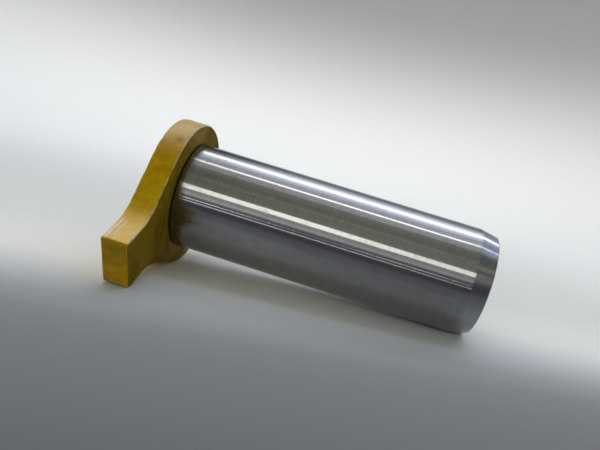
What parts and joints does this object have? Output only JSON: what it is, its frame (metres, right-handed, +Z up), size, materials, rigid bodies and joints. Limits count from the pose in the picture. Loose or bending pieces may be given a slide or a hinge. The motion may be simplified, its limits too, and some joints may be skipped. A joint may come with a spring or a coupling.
{
  "type": "excavator pin",
  "caption": "Ground steel flag pin with a tapered lead-in end, welded into a thick painted keeper plate whose round lobe sweeps into a square-ended tab",
  "frame": {"origin": "on the shaft's axis, in the plane of the flag plate's inner face", "axes": "+Z up with the pin lying as it rests on a flat floor; +X level towards the shaft's free end, which dips 3.76 degrees; the plate's tab points towards -Y and 23 degrees down"},
  "size_m": [0.2838, 0.1695, 0.1229],
  "materials": {
    "ground_steel": "ground and polished hardened steel, thinly oiled, with fine grinding lines round the shaft",
    "ochre_paint": "semi-gloss ochre yellow paint over flame-cut steel, dirty in places and worn along the edges"
  },
  "bodies": {
    "root": {"pin_shaft": "ground_steel", "flag_plate": "ochre_paint", "weld_bead": "ochre_paint"}
  },
  "joints": []
}
